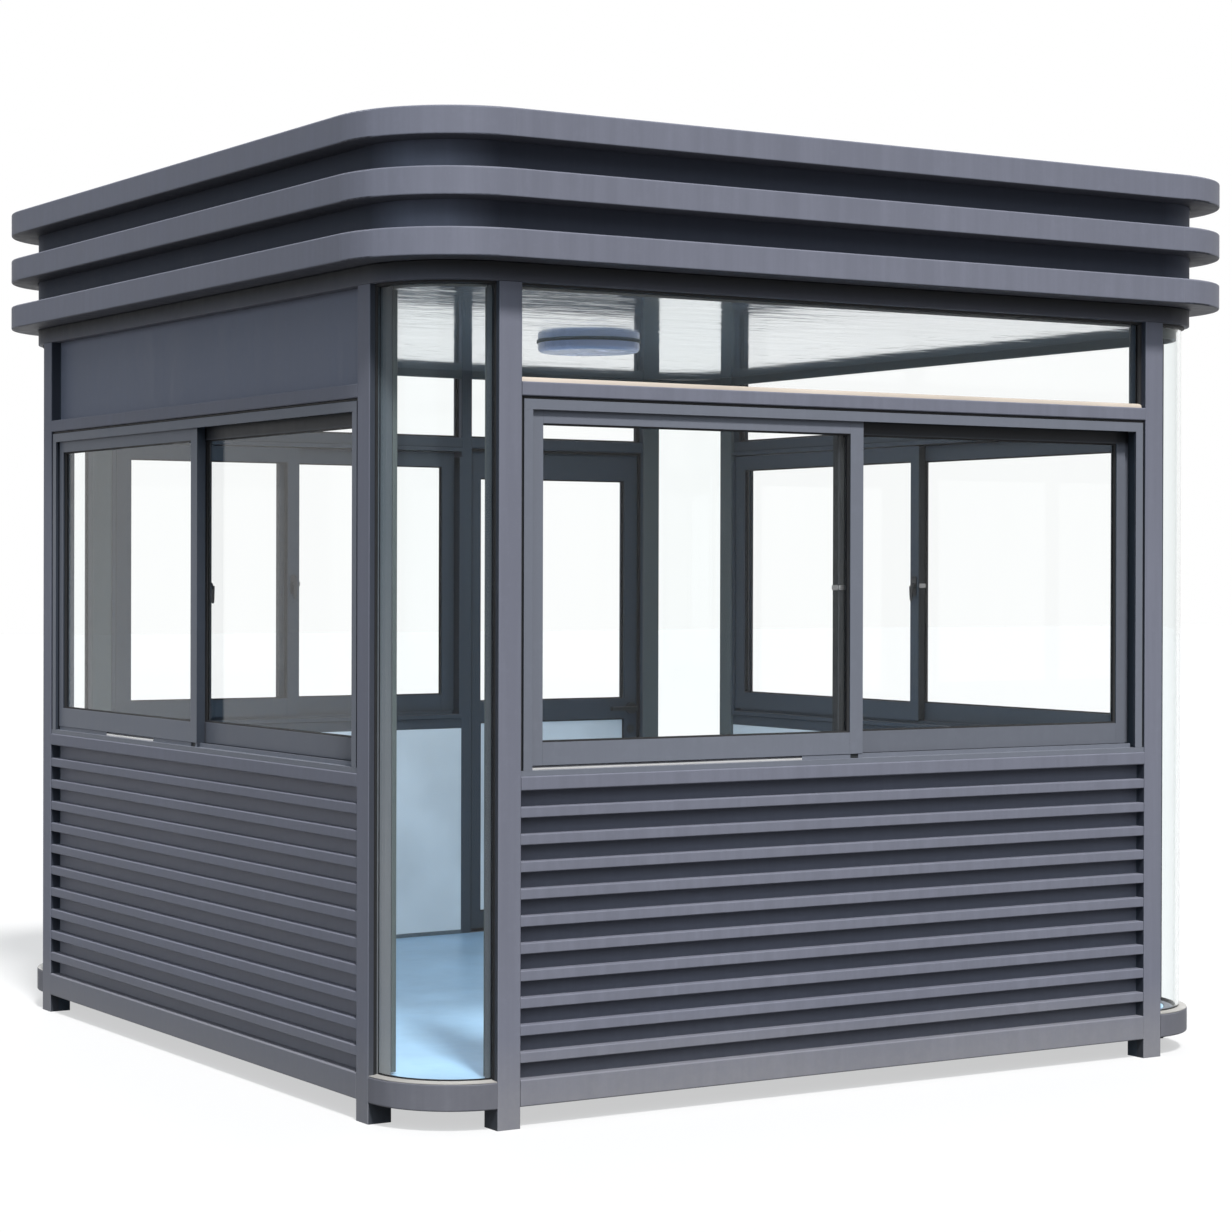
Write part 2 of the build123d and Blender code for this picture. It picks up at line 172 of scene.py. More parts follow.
# ---------------------------------------------------------------- node tree helpers
class Tree:
    """A new material's node tree, with short calls for the nodes used here."""

    def __init__(self, name):
        self.material = bpy.data.materials.new(name)
        self.material.use_nodes = True
        self.tree = self.material.node_tree
        self.tree.nodes.clear()
        self.output = self.add("ShaderNodeOutputMaterial")
        self.place = self.add("ShaderNodeTexCoord").outputs["Object"]

    def add(self, kind, inputs=(), **settings):
        node = self.tree.nodes.new(kind)
        for key, value in settings.items():
            setattr(node, key, value)
        for key, value in dict(inputs).items():
            self.feed(node.inputs[key], value)
        return node

    def feed(self, socket, value):
        if isinstance(value, bpy.types.NodeSocket):
            self.tree.links.new(value, socket)
        elif socket.type == "RGBA" and len(value) == 3:
            socket.default_value = (*value, 1)
        else:
            socket.default_value = value

    def stretched(self, scale):
        """Object coordinates, scaled along each axis."""
        mapping = self.add("ShaderNodeMapping", {"Vector": self.place, "Scale": scale})
        return mapping.outputs["Vector"]

    def noise(self, vector, scale, detail=3.0, roughness=0.55):
        node = self.add("ShaderNodeTexNoise", {
            "Vector": vector, "Scale": scale, "Detail": detail, "Roughness": roughness,
        })
        return node.outputs["Fac"]

    def spread(self, value, low, high, to_low=0.0, to_high=1.0):
        """Maps low..high to to_low..to_high, clamped."""
        return self.add("ShaderNodeMapRange", {
            "Value": value, "From Min": low, "From Max": high, "To Min": to_low, "To Max": to_high,
        }).outputs["Result"]

    def math(self, operation, a, b):
        return self.add("ShaderNodeMath", {0: a, 1: b}, operation=operation).outputs["Value"]

    def vector_math(self, operation, *values):
        inputs = dict(enumerate(values))
        return self.add("ShaderNodeVectorMath", inputs, operation=operation).outputs

    def mix(self, factor, a, b, blend="MIX"):
        node = self.add("ShaderNodeMix", data_type="RGBA", blend_type=blend)
        self.feed(node.inputs["Factor"], factor)
        self.feed(node.inputs["A"], a)
        self.feed(node.inputs["B"], b)
        return node.outputs["Result"]

    def normal(self):
        """The direction the surface looks in."""
        return self.add("ShaderNodeNewGeometry").outputs["Normal"]

    def parts(self, vector):
        """X, Y and Z of a vector."""
        return self.add("ShaderNodeSeparateXYZ", {"Vector": vector}).outputs

    def edges(self, radius):
        """About 1 along outside edges within that radius, and 0 on flat faces."""
        bevel = self.add("ShaderNodeBevel", {"Radius": radius}, samples=6)
        dot = self.vector_math("DOT_PRODUCT", bevel.outputs["Normal"], self.normal())
        return self.spread(dot["Value"], 1.0, 0.86)

    def level(self):
        """Height above the ground."""
        return self.parts(self.place)["Z"]

    def reaches(self):
        """Distances from the cabin's middle along x and along y."""
        quadrant = self.parts(self.vector_math("ABSOLUTE", self.place)["Vector"])
        return quadrant["X"], quadrant["Y"]

    def behind(self, line):
        """1 nearer to the cabin's middle than a line along the walls, and 0 outside it."""
        return self.spread(self.math("MAXIMUM", *self.reaches()), line + 0.001, line - 0.001)

    def looks_inward(self):
        """1 on faces that look towards the cabin's upright middle line."""
        flat = self.vector_math("MULTIPLY", self.place, (-1, -1, 0))["Vector"]
        inward = self.vector_math("NORMALIZE", flat)["Vector"]
        dot = self.vector_math("DOT_PRODUCT", inward, self.normal())
        return self.spread(dot["Value"], 0.30, 0.36)

    def faces_cabin(self):
        """1 on the faces behind the glass line that look inward. 0 above the ceiling."""
        inner = self.math("MULTIPLY", self.looks_inward(), self.behind(GLASS_LINE))
        below = self.spread(self.level(), CEILING_LEVEL + 0.012, CEILING_LEVEL + 0.010)
        return self.math("MULTIPLY", inner, below)

    def along_wall(self):
        """1 on upright faces that look along their own wall."""
        reach_x, reach_y = self.reaches()
        looks = self.parts(self.vector_math("ABSOLUTE", self.normal())["Vector"])
        side_wall = self.math("GREATER_THAN", reach_x, reach_y)
        end_wall = self.math("LESS_THAN", reach_x, reach_y)
        on_side = self.math("MULTIPLY", looks["Y"], side_wall)
        on_end = self.math("MULTIPLY", looks["X"], end_wall)
        return self.spread(self.math("MAXIMUM", on_side, on_end), 0.7, 0.8)

    def off_corner(self):
        """0 in the middle of the booth's rounded corners, rising to 1 where they end."""
        reach_x, reach_y = self.reaches()
        past_x = self.math("SUBTRACT", reach_x, CORNER_X)
        past_y = self.math("SUBTRACT", reach_y, CORNER_Y)
        past = self.math("MINIMUM", past_x, past_y)
        return self.spread(past, 0.0, CORNER_GLASS_RADIUS * 0.6, 1.0, 0.0)

    def bump(self, height, distance, strength=1.0, rounded=0.0):
        inputs = {"Height": height, "Distance": distance, "Strength": strength}
        node = self.add("ShaderNodeBump", inputs)
        if rounded:
            soft = self.add("ShaderNodeBevel", {"Radius": rounded}, samples=6)
            self.feed(node.inputs["Normal"], soft.outputs["Normal"])
        return node.outputs["Normal"]

    def surface(self, shader):
        self.tree.links.new(shader, self.output.inputs["Surface"])
        return self.material

    def principled(self, **inputs):
        """Keys are the socket names with _ for spaces."""
        named = {key.replace("_", " "): value for key, value in inputs.items()}
        return self.add("ShaderNodeBsdfPrincipled", named).outputs["BSDF"]


# ---------------------------------------------------------------- materials
def scaled(colour, factor, lift=0.0):
    """A colour made paler or deeper, at most 1."""
    return tuple(min(1.0, channel * factor + lift) for channel in colour)


def weathered(t, colour, streaks, patches, dust, streak, edge, dust_reach):
    """Paint with faint upright streaks, deeper patches, dust, worn edges and a dusty foot."""
    pale = scaled(colour, 1.45, 0.012)
    toned = t.mix(t.spread(streaks, 0.40, 0.70, 0.0, 0.22 * streak), colour, pale)
    toned = t.mix(t.spread(patches, 0.35, 0.7, 0.0, 0.25), toned, scaled(colour, 0.80))
    toned = t.mix(t.spread(dust, 0.52, 0.78, 0.0, 0.15), toned, pale)
    worn = t.math("MULTIPLY", t.edges(edge), t.spread(dust, 0.3, 0.6, 0.35, 1.0))
    toned = t.mix(t.math("MULTIPLY", worn, 0.55), toned, PAINT_WORN)
    uneven = t.math("ADD", t.level(), t.math("MULTIPLY", patches, 0.12))
    splash = t.spread(uneven, 0.32, 0.10, 0.0, dust_reach)
    speckled = t.math("MULTIPLY", splash, t.spread(dust, 0.25, 0.6, 0.6, 1.0))
    return t.mix(speckled, toned, ROAD_DUST)


def flank_painted_shade(t, low_down, high_up):
    """Painted shade on faces that look along their wall: one tint low down and another high up,
    darker under the roof on the posts, and deep painted shade on the faces that look towards
    the wall's middle, on the sides of the feet and on the strips in front of the corner glass."""
    shade = t.mix(t.spread(t.level(), *FLANK_LEVELS), low_down, high_up)
    foot = t.spread(t.level(), FOOT_LEVEL + 0.003, FOOT_LEVEL - 0.002)
    in_front = t.math("SUBTRACT", 1.0, t.behind(CORNER_BOX[1].x))
    shade = t.mix(t.math("MULTIPLY", in_front, 0.85), shade, REVEAL_SHADE)
    return t.mix(t.math("MAXIMUM", t.looks_inward(), foot), shade, REVEAL_SHADE)


def paint(name, colour, roughness=0.50, streak=1.0, edge=0.0015, inner=None, gloss=0.10,
          dust_reach=0.55, eaves_shade=None, soffit=0.0, flats=None, head=False, flank=None):
    """Satin paint on steel sheet. Faces that look into the cabin take the inner colour, which on
    the booth's paint is painted shade. Eaves shade is the heights between which painted shade
    deepens upwards, under the roof's overhang, and soffit is the share of painted shade on
    faces that look down. Flats multiplies the paint away from the middle of rounded corners:
    painted shade on the flat runs, with the corners left brighter as a painted reflection. Head
    puts painted shade on the inner sash, deepest under the window's head. Flank is the pair of
    painted shade tints of faces that look along their wall."""
    t = Tree(name)
    streaks = t.noise(t.stretched((16.0, 16.0, 0.8)), 1.6, 4.0, 0.6)
    patches = t.noise(t.place, 1.1, 2.0)
    dust = t.noise(t.place, 26.0, 5.0, 0.7)
    toned = weathered(t, colour, streaks, patches, dust, streak, edge, dust_reach)
    # Painted shade on the flat runs away from the rounded corners, which stay brighter as a painted
    # reflection.
    if flats:
        toned = t.mix(t.off_corner(), toned, flats, "MULTIPLY")
    # Painted shade on faces that look along their wall.
    if flank:
        toned = t.mix(t.along_wall(), toned, flank_painted_shade(t, *flank), "MULTIPLY")
    # Painted shade under the roof's overhang, deepening upwards.
    if eaves_shade:
        uneven = t.math("ADD", t.level(), t.math("MULTIPLY", patches, 0.010))
        toned = t.mix(t.spread(uneven, *eaves_shade, 0.38, 0.92), toned, EAVES_PAINTED_SHADE)
    # Painted shade on faces that look down.
    if soffit:
        upward = t.parts(t.normal())["Z"]
        toned = t.mix(t.spread(upward, -0.4, -0.8, 0.0, soffit), toned, EAVES_PAINTED_SHADE)
    # Painted shade on the inner sash, deepest under the window's head.
    if head:
        high = t.spread(t.level(), SASH_GLASS_TOP - 0.012, SASH_GLASS_TOP + 0.006, 0.18, 0.88)
        on_sash = t.math("MULTIPLY", t.behind(INNER_TRACK_LINE), high)
        toned = t.mix(on_sash, toned, EAVES_PAINTED_SHADE)
    # Cabin-side colour: painted shade for the booth's paint, the lining's own colour for the upper
    # panel.
    if inner:
        toned = t.mix(t.faces_cabin(), toned, inner)
    uneven_gloss = t.math("ADD", streaks, dust)
    rough = t.spread(uneven_gloss, 0.7, 1.35, roughness - 0.06, roughness + 0.12)
    peel = t.noise(t.place, 420.0, 2.0)
    return t.surface(t.principled(
        Base_Color=toned, Roughness=rough, Specular_IOR_Level=gloss,
        Normal=t.bump(peel, 0.0002, 0.35, rounded=edge),
    ))


def coated_board(name, colour, roughness, scuffing=0.2):
    """Smooth coated sheet with a little uneven tone and scuffs."""
    t = Tree(name)
    cloud = t.noise(t.place, 2.2, 3.0)
    scuffs = t.noise(t.stretched((3.0, 3.0, 9.0)), 9.0, 5.0, 0.7)
    deep = scaled(colour, 0.86)
    toned = t.mix(t.spread(cloud, 0.35, 0.68), deep, scaled(colour, 1.10))
    toned = t.mix(t.spread(scuffs, 0.6, 0.8, 0.0, scuffing), toned, deep)
    rough = t.spread(scuffs, 0.3, 0.8, roughness, roughness + 0.14)
    fine = t.noise(t.place, 300.0, 2.0)
    return t.surface(t.principled(
        Base_Color=toned, Roughness=rough, Normal=t.bump(fine, 0.0002, 0.25, rounded=0.001),
    ))


def brushed(name, colour, roughness, metallic=1.0, along=(260.0, 260.0, 6.0)):
    """Brushed or mill-finish metal with fine lines."""
    t = Tree(name)
    lines = t.noise(t.stretched(along), 1.0, 3.0, 0.7)
    smears = t.noise(t.place, 14.0, 4.0, 0.6)
    deep = scaled(colour, 0.78)
    toned = t.mix(t.spread(lines, 0.3, 0.7), deep, colour)
    toned = t.mix(t.spread(smears, 0.5, 0.8, 0.0, 0.3), toned, deep)
    rough = t.spread(lines, 0.25, 0.75, roughness - 0.08, roughness + 0.08)
    return t.surface(t.principled(
        Base_Color=toned, Roughness=rough, Metallic=metallic,
        Normal=t.bump(lines, 0.0002, 0.3, rounded=0.0008),
    ))


def rubber(name, colour):
    """Gasket rubber or brush pile with a dusty bloom."""
    t = Tree(name)
    bloom = t.noise(t.place, 60.0, 4.0, 0.6)
    toned = t.mix(t.spread(bloom, 0.45, 0.8, 0.0, 0.3), colour, scaled(colour, 1.0, 0.022))
    rough = t.spread(bloom, 0.3, 0.8, 0.5, 0.75)
    return t.surface(t.principled(
        Base_Color=toned, Roughness=rough, Specular_IOR_Level=0.2,
        Normal=t.bump(bloom, 0.0002, 0.2),
    ))


def clear_glass(name, colour):
    """Float glass with a slight green-blue tint. Lamps shine through it."""
    t = Tree(name)
    film = t.noise(t.stretched((1.0, 1.0, 0.4)), 3.0, 3.0)
    tint = t.mix(t.spread(film, 0.4, 0.75, 0.0, 0.5), colour, scaled(colour, 0.985))
    wave = t.noise(t.place, 1.3, 1.0)
    pane = t.principled(
        Base_Color=tint, Roughness=0.0, IOR=1.2, Transmission_Weight=1.0,
        Normal=t.bump(wave, 0.002, 0.15),
    )
    clear = t.add("ShaderNodeBsdfTransparent", {"Color": tint}).outputs["BSDF"]
    path = t.add("ShaderNodeLightPath").outputs
    passing = t.math("MAXIMUM", path["Is Shadow Ray"], path["Is Diffuse Ray"])
    mixed = t.add("ShaderNodeMixShader", {0: passing, 1: pane, 2: clear})
    return t.surface(mixed.outputs["Shader"])


def glossy_ceiling(name):
    """Polished light sheet that mirrors the room at a low angle."""
    t = Tree(name)
    cloud = t.noise(t.place, 1.6, 3.0)
    toned = t.mix(t.spread(cloud, 0.35, 0.7), scaled(CEILING_WHITE, 0.93), CEILING_WHITE)
    rough = t.spread(cloud, 0.3, 0.7, 0.05, 0.10)
    ripple = t.noise(t.stretched((1.0, 2.4, 1.0)), 3.6, 3.0)
    return t.surface(t.principled(
        Base_Color=toned, Roughness=rough, Specular_IOR_Level=0.5, Coat_Weight=0.6,
        Coat_Roughness=0.04, Coat_IOR=1.5, Normal=t.bump(ripple, 0.012, 0.3),
    ))


def opal(name):
    """Opal acrylic of the lamp, unlit."""
    t = Tree(name)
    cloud = t.noise(t.place, 9.0, 2.0)
    toned = t.mix(t.spread(cloud, 0.3, 0.7), scaled(LAMP_OPAL, 0.9), LAMP_OPAL)
    rough = t.spread(cloud, 0.3, 0.7, 0.22, 0.30)
    return t.surface(t.principled(Base_Color=toned, Roughness=rough, Specular_IOR_Level=0.6))


MATERIALS = {
    # Booth paint: cabin-side faces take painted shade.
    "paint": paint("booth_paint", PAINT, inner=CABIN_SIDE_SHADE),
    "panel_paint": paint("wall_panel_paint", PANEL_PAINT, streak=0.6, dust_reach=0.2),
    "base_corner_paint": paint("base_corner_paint", BASE_CORNER_PAINT, dust_reach=0.1),
    "cover_paint": paint("post_cover_paint", COVER_PAINT, dust_reach=0.0),
    # Left wall's sheet: painted bounce light and dust.
    "left_sheet_dust_and_bounce": paint(
        "left_sheet_dust_and_bounce", LEFT_SHEET_DUST_AND_BOUNCE, streak=0.6, dust_reach=0.2,
    ),
    "upper_panel_paint": paint(
        "upper_panel_paint", UPPER_PANEL_PAINT, streak=0.6, inner=LINING_BLUE,
    ),
    # Fascia between the bands: painted shade on the flat runs, painted reflection at the corners.
    "fascia_paint": paint(
        "fascia_paint", FASCIA_PAINT, roughness=0.55, streak=0.6, gloss=0.05,
        flats=FASCIA_FLATS_SHADE,
    ),
    # Roof bands: painted shade on their undersides.
    "band_paint": paint("roof_band_paint", PAINT, soffit=0.65),
    # Posts: painted shade on faces that look along the wall, darker high up; cabin-side faces
    # painted shade.
    "post_paint": paint("post_paint", PAINT, inner=CABIN_SIDE_SHADE, flank=POST_FLANK_SHADES),
    # Ring beams: painted shade under the bands' overhang, deepest at the top; cabin-side faces
    # painted shade.
    "ring_paint": paint(
        "ring_paint", PAINT, inner=CABIN_SIDE_SHADE, eaves_shade=(RING_LEVEL + 0.004, RING_LEVEL + 0.050),
    ),
    # Window frames: painted shade on faces that look along the wall, on the inner sash under the
    # head and on cabin-side faces.
    "window_paint": paint(
        "window_frame_paint", FRAME_PAINT, roughness=0.36, streak=0.35, edge=0.0008,
        inner=CABIN_SIDE_SHADE, head=True, flank=(REVEAL_SHADE, REVEAL_SHADE),
    ),
    "lining": coated_board("lining_board", LINING_BLUE, 0.38),
    "floor": coated_board("floor_sheet", FLOOR_BLUE, 0.30, scuffing=0.3),
    "ceiling": glossy_ceiling("ceiling_sheet"),
    "lamp": opal("lamp_opal"),
    "deck": coated_board("roof_deck_coating", DECK_GREY, 0.6, scuffing=0.6),
    "glass": clear_glass("window_glass", GLASS_TINT),
    "corner_glass": clear_glass("bent_corner_glass", CORNER_TINT),
    "rubber": rubber("gasket_rubber", RUBBER),
    "aluminium": brushed("bare_aluminium", BARE_ALUMINIUM, 0.30, along=(6.0, 6.0, 300.0)),
    "cream": coated_board("cream_bead", BEAD_CREAM, 0.5),
    "steel": brushed("brushed_steel", STEEL, 0.30),
    "dark_steel": brushed("dark_steel", DARK_STEEL, 0.34),
    "black_metal": brushed("black_coated_metal", BLACK_METAL, 0.34, metallic=0.4),
    "pale_sill": coated_board("pale_sill_sheet", SILL_PALE, 0.5, scuffing=0.5),
    "pile": rubber("brush_pile", PILE),
    "skirting": rubber("skirting_rubber", SKIRTING),
}

# The finish of each CAD node, by its slot, and of the nodes that differ from their slot.
SLOT_FINISHES = {
    "frame_paint": "paint", "wall_panel_paint": "panel_paint",
    "window_frame_finish": "window_paint", "glass": "glass", "ceiling_finish": "ceiling",
    "floor_finish": "floor", "lining_finish": "lining", "lamp_diffuser": "lamp",
    "handle_metal": "black_metal", "hinge_metal": "steel", "roof_deck_finish": "deck",
}
NODE_FINISHES = {
    "posts": "post_paint", "ring_beams": "ring_paint", "ring_corners": "ring_paint",
    "base_corners": "base_corner_paint", "left_lower_wall": "left_sheet_dust_and_bounce",
    "left_upper_panel": "upper_panel_paint", "corner_glass": "corner_glass",
}


def finish_cad_nodes():
    """Gives every node of the frame its detailed material."""
    slots = {entry["node"]: entry["material_slot"] for entry in frame["record"]["subparts"]}
    for name, node in NODES.items():
        finish = NODE_FINISHES.get(name, SLOT_FINISHES[slots[name]])
        if name.startswith("fascia"):
            finish = "fascia_paint"
        if name.startswith("roof_band"):
            finish = "band_paint"
        node.data.materials.clear()
        node.data.materials.append(MATERIALS[finish])


finish_cad_nodes()


# ---------------------------------------------------------------- mesh helpers
def frame_sweep(bm, outline, low, high, y, side):
    """Sweeps an outline round an upright rectangle with mitred corners. An outline point is
    (inward from the rectangle's edge, away from the face at y). side is -1 outward, 1 inward."""
    corners = (
        (low.x, low.z, 1, 1), (high.x, low.z, -1, 1), (high.x, high.z, -1, -1),
        (low.x, high.z, 1, -1),
    )
    rings = [
        [bm.verts.new((x + sx * inner, y + side * away, z + sz * inner)) for inner, away in outline]
        for x, z, sx, sz in corners
    ]
    join_rings(bm, rings, closed=True)


def both_faces(bm, outline, low, high):
    """Sweeps an outline round a pane or panel, on its outer and its inner face."""
    frame_sweep(bm, outline, low, high, low.y, -1)
    frame_sweep(bm, outline, low, high, high.y, 1)


def bar_sweep(bm, outline, start, end, across, rise):
    """Sweeps an outline along a straight line with closed ends. An outline point is
    (along across, along rise)."""
    start, end, across, rise = Vector(start), Vector(end), Vector(across), Vector(rise)
    rings = [
        [bm.verts.new(place + across * u + rise * v) for u, v in outline]
        for place in (start, end)
    ]
    join_rings(bm, rings, closed=False)


def level_bar(bm, outline, left, right, y, z, across=INWARD, rise=UP):
    """Sweeps an outline along a wall, from left to right."""
    bar_sweep(bm, outline, (left, y, z), (right, y, z), across, rise)


def upright_bar(bm, outline, x, y, foot, top, across=RIGHTWARD, rise=OUTWARD):
    """Sweeps an outline up a wall, from foot to top."""
    bar_sweep(bm, outline, (x, y, foot), (x, y, top), across, rise)


def corner_sweep(bm, outline, sign_x, sign_y, steps=20):
    """Sweeps an outline of (radius, height) points round one rounded corner, with closed ends."""
    rings = []
    for step in range(steps + 1):
        angle = math.pi / 2 * step / steps
        rings.append([
            bm.verts.new((
                sign_x * (CORNER_X + radius * math.cos(angle)),
                sign_y * (CORNER_Y + radius * math.sin(angle)),
                z,
            ))
            for radius, z in outline
        ])
    join_rings(bm, rings, closed=False)


def lathe(bm, outline, centre, axis, steps=28):
    """Turns an outline of (radius, along axis) points about an axis. Its ends are on the axis
    or joined to each other."""
    centre, axis = Vector(centre), Vector(axis).normalized()
    across = axis.orthogonal().normalized()
    up = axis.cross(across)
    rings = []
    for step in range(steps):
        angle = 2 * math.pi * step / steps
        spoke = across * math.cos(angle) + up * math.sin(angle)
        rings.append([
            bm.verts.new(centre + spoke * radius + axis * along) for radius, along in outline
        ])
    join_rings(bm, rings, closed=True)


def join_rings(bm, rings, closed):
    """Faces between neighbouring rings of points, with end faces where the run is open."""
    pairs = list(zip(rings, rings[1:])) + ([(rings[-1], rings[0])] if closed else [])
    for ring, other in pairs:
        for index, point in enumerate(ring):
            following = (index + 1) % len(ring)
            bm.faces.new((point, ring[following], other[following], other[index]))
    if not closed:
        bm.faces.new(rings[0])
        bm.faces.new(reversed(rings[-1]))


def rounded(width, height, edge):
    """Outline of a rounded rectangle from (0, 0) to (width, height)."""
    outline = []
    for x, y, turn in ((width - edge, edge, -90), (width - edge, height - edge, 0),
                       (edge, height - edge, 90), (edge, edge, 180)):
        for part in range(4):
            angle = math.radians(turn + part * 30)
            outline.append((x + edge * math.cos(angle), y + edge * math.sin(angle)))
    return outline


def merge(target, part, place):
    """Adds a part in a wall's frame to a mesh in the booth's frame."""
    part.transform(place)
    scratch = bpy.data.meshes.new("scratch")
    part.to_mesh(scratch)
    part.free()
    target.from_mesh(scratch)
    bpy.data.meshes.remove(scratch)


def finish_piece(name, bm, finish, body="booth", place=None):
    """Turns the mesh into a piece of the booth with its material and body."""
    bmesh.ops.remove_doubles(bm, verts=bm.verts, dist=1e-6)
    bmesh.ops.dissolve_degenerate(bm, dist=1e-6, edges=bm.edges)
    if place:
        bm.transform(place)
    bmesh.ops.recalc_face_normals(bm, faces=bm.faces)
    mesh = bpy.data.meshes.new(name)
    bm.to_mesh(mesh)
    bm.free()
    mesh.shade_smooth()
    mesh.set_sharp_from_angle(angle=math.radians(35))
    mesh.materials.append(MATERIALS[finish])
    made = bpy.data.objects.new(name, mesh)
    bpy.context.scene.collection.objects.link(made)
    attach(made, body)


# ---------------------------------------------------------------- sliding windows
GASKET = [(0, 0), (0.0055, 0), (0.0050, 0.0022), (0.0022, 0.0062), (0, 0.0072)]
SCREW = [
    (0, 0), (0.0042, 0), (0.0040, 0.0008), (0.0026, 0.0017), (0.0012, 0.0019), (0.0010, 0.0011),
    (0, 0.0010),
]
SCREW_STEPS = 12
LOCK_HEIGHT = 1.498

# The window frame's sill rises by SILL_RISE over its foot. Depths beyond TRACK_SPLIT belong to
# the inner sash. The track starts TRACK_END from the outer sash's side, is TRACK_DEPTH deep,
# and its strips leave JOINT between them. The table of shares below gives, for each wall, the
# shares of the outer sash's width between which the bare strip shows: the lit part of the rail.
# Painted covers stand for the rest of the rail, which lies in shade (painted shade).
SILL_RISE = 0.015
TRACK_SPLIT = 0.025
TRACK_DEPTH = 0.0095
TRACK_END = 0.022
JOINT = 0.0005
TRACK_LIT_SHARES = {
    "front": (0.0, 0.81), "right": (0.0, 0.81), "back": (0.0, 0.81), "left": (0.38, 0.71),
}


def window_details(wall):
    """Gaskets, groove seals, track strip, dark covers of painted shade on the inner meeting
    stile with a brush, and lock of one sliding window.
    """
    place = wall_matrix(wall)
    outer_pane, inner_pane = wall_boxes(f"{wall}_window_glass", wall)
    sashes = wall_boxes(f"{wall}_window_sashes", wall)
    outer_sash = around([box for box in sashes if box[0].y < TRACK_SPLIT])
    inner_sash = around([box for box in sashes if box[0].y > TRACK_SPLIT])
    low, high = around(wall_boxes(f"{wall}_window_frame", wall))

    bm = bmesh.new()
    both_faces(bm, GASKET, *outer_pane)
    both_faces(bm, GASKET, *inner_pane)
    finish_piece(f"{wall}_pane_gaskets", bm, "rubber", place=place)

    frame_seals(wall, low, high, place)
    track_details(wall, low.z + SILL_RISE, outer_sash, place)
    stile_shade_and_brush(wall, outer_pane, inner_pane, outer_sash, inner_sash, place)
    window_lock_details(wall, inner_pane, inner_sash, place)


def frame_seals(wall, low, high, place):
    """Domed seals in the groove of the window frame, at both sides and under the head."""
    width, bead = 0.0080, 0.0035
    y, foot = low.y + 0.0070, low.z + SILL_RISE + 0.0003
    dome = [(0, 0), (width, 0), (width * 0.85, bead * 0.8), (width * 0.5, bead),
            (width * 0.15, bead * 0.8)]
    bm = bmesh.new()
    upright_bar(bm, dome, low.x, y, foot, high.z)
    upright_bar(bm, dome, high.x - width, y, foot, high.z)
    level_bar(bm, dome, low.x + width, high.x - width, y, high.z - width, UP, OUTWARD)
    finish_piece(f"{wall}_frame_seals", bm, "rubber", place=place)


def track_details(wall, sill_top, sash, place):
    """Bare aluminium strip in front of the outer track, under the outer sash, where the rail is
    lit. Painted covers at both ends stand for the rail where it lies in shade (painted shade),
    and a short rubber sweep closes the track under the meeting stile."""
    left, right, front = sash[0].x, sash[1].x, sash[0].y + 0.0005
    start, end = (left + (right - left) * share for share in TRACK_LIT_SHARES[wall])
    height = sash[0].z - sill_top - 0.0012
    step = [(0, 0), (TRACK_DEPTH, 0), (TRACK_DEPTH, height), (0.0070, height),
            (0.0058, height * 0.86), (0.0016, height * 0.62), (0, height * 0.5)]
    bm = bmesh.new()
    level_bar(bm, step, max(start, left + TRACK_END), end, front, sill_top)
    finish_piece(f"{wall}_track_strip", bm, "aluminium", place=place)

    # Painted shade: covers in the frame's paint over the shaded rest of the rail.
    sweep_start, sweep_end = right - 0.044, right - 0.016
    top = height + 0.0006
    cover = [(0.0012, 0), (TRACK_DEPTH, 0), (TRACK_DEPTH, top), (0.0020, top),
             (0.0012, top - 0.0008)]
    painted = [(end + JOINT, sweep_start - JOINT), (sweep_end + JOINT, right)]
    if start > left + TRACK_END:
        painted.append((left + TRACK_END, start - JOINT))
    bm = bmesh.new()
    for near, far in painted:
        level_bar(bm, cover, near, far, front, sill_top)
    finish_piece(f"{wall}_track_shade_cover", bm, "window_paint", place=place)

    fin = [(0.0030, 0), (0.0060, 0), (0.0052, height * 0.9), (0.0040, height)]
    bm = bmesh.new()
    level_bar(bm, fin, sweep_start, sweep_end, front, sill_top)
    finish_piece(f"{wall}_track_sweep", bm, "pile", place=place)


def stile_shade_and_brush(wall, outer_pane, inner_pane, outer_sash, inner_sash, place):
    """Dark ribbed strip over the front and dark cheek over the side of the inner meeting stile,
    painted shade on that stile, and a brush on the outer one.
    """
    left, front, foot = inner_sash[0]
    _, back, top = inner_sash[1]
    outer_back = outer_sash[1].y
    width, thick, inset = inner_pane[0].x - left, 0.0012, 0.001
    rib = thick * 1.5
    ribbed = [(inset, 0), (inset, thick), (width * 0.3, thick), (width * 0.34, rib),
              (width * 0.42, rib), (width * 0.46, thick), (width - inset, thick),
              (width - inset, 0)]
    depth = back - front - inset
    cheek = [(inset, 0), (inset, thick), (depth, thick), (depth, 0)]
    reach = front - outer_back
    pile = [(0, 0), (0.005, 0), (0.0042, reach * 0.55), (0.003, reach * 0.92),
            (0.002, reach * 0.92), (0.0008, reach * 0.55)]
    pile_x = outer_pane[1].x + 0.012
    bm = bmesh.new()
    # Painted shade: the ribbed strip and the cheek in brush pile colour darken the inner meeting
    # stile.
    upright_bar(bm, ribbed, left, front, foot + 0.002, top - 0.002)
    upright_bar(bm, pile, pile_x, outer_back, foot + 0.004, top - 0.004, RIGHTWARD, INWARD)
    upright_bar(bm, cheek, left, front, foot + 0.002, top - 0.002, INWARD, LEFTWARD)
    finish_piece(f"{wall}_brush_and_stile_shade", bm, "pile", place=place)


